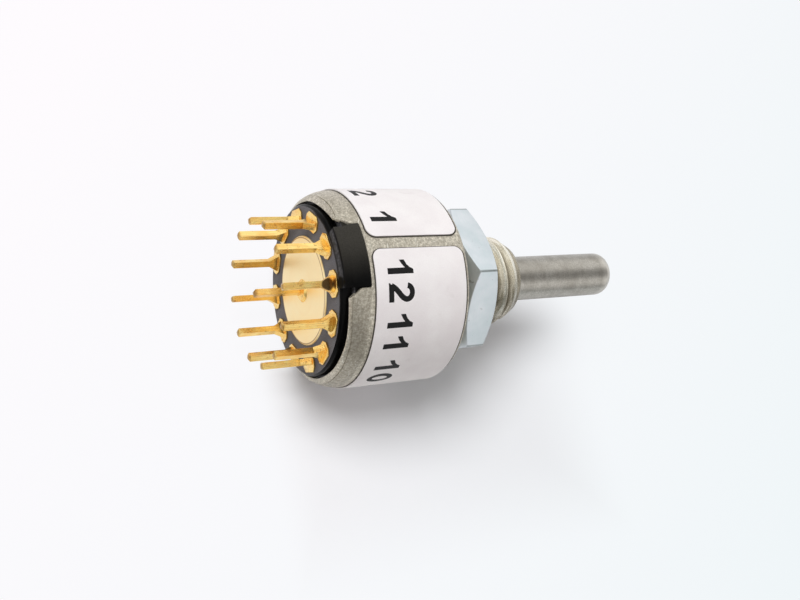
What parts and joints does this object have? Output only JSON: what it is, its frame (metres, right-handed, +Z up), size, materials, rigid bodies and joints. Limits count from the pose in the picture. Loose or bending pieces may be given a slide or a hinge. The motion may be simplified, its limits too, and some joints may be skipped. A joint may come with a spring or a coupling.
{
  "type": "rotary switch",
  "caption": "Miniature panel rotary switch with a threaded bushing, a hexagon nut, a plain round shaft and straight gold terminals on a circle.",
  "frame": {"origin": "centre of the housing's front mounting face, where the panel sits, on the shaft's axis", "axes": "+X along the shaft, out through the panel; +Z up, through the middle of the locating key; terminal 1 is the first from +Z towards +Y"},
  "size_m": [0.0281, 0.0128, 0.0128],
  "materials": {
    "zinc_casting": "dull die-cast zinc alloy, warm grey",
    "zinc_plate": "bright zinc plate, slightly blue",
    "white_paper": "smooth white paper, black numbers",
    "bronze": "turned phosphor bronze",
    "stainless": "ground stainless steel",
    "spring_steel": "spring steel",
    "polished_steel": "polished steel ball",
    "seal_rubber": "greased black rubber",
    "green_plastic": "moulded dark green plastic",
    "black_plastic": "black glass-filled moulding, matt face and glossy sides",
    "satin_gold": "satin gold plate, pale",
    "gold_plate": "bright gold plate"
  },
  "bodies": {
    "case": {"housing": "zinc_casting", "mounting_nut": "zinc_plate", "label": "white_paper", "thrust_washer": "bronze", "base": "black_plastic", "common_plate": "satin_gold", "common_terminal": "gold_plate", "terminal_01": "gold_plate", "terminal_02": "gold_plate", "terminal_03": "gold_plate", "terminal_04": "gold_plate", "terminal_05": "gold_plate", "terminal_06": "gold_plate", "terminal_07": "gold_plate", "terminal_08": "gold_plate", "terminal_09": "gold_plate", "terminal_10": "gold_plate", "terminal_11": "gold_plate", "terminal_12": "gold_plate"},
    "rotor": {"shaft": "stainless", "retaining_ring": "spring_steel", "shaft_seal": "seal_rubber", "detent_rotor": "bronze", "detent_spring": "spring_steel", "detent_ball_1": "polished_steel", "detent_ball_2": "polished_steel", "contact_carrier": "green_plastic", "contact_spring": "spring_steel", "contact_wiper": "gold_plate"}
  },
  "joints": [
    {"name": "shaft_turn", "type": "hinge", "parent": "case", "child": "rotor", "pos_m": [0, 0, 0], "axis": [-1, 0, 0], "range_deg": [0, 330]}
  ]
}
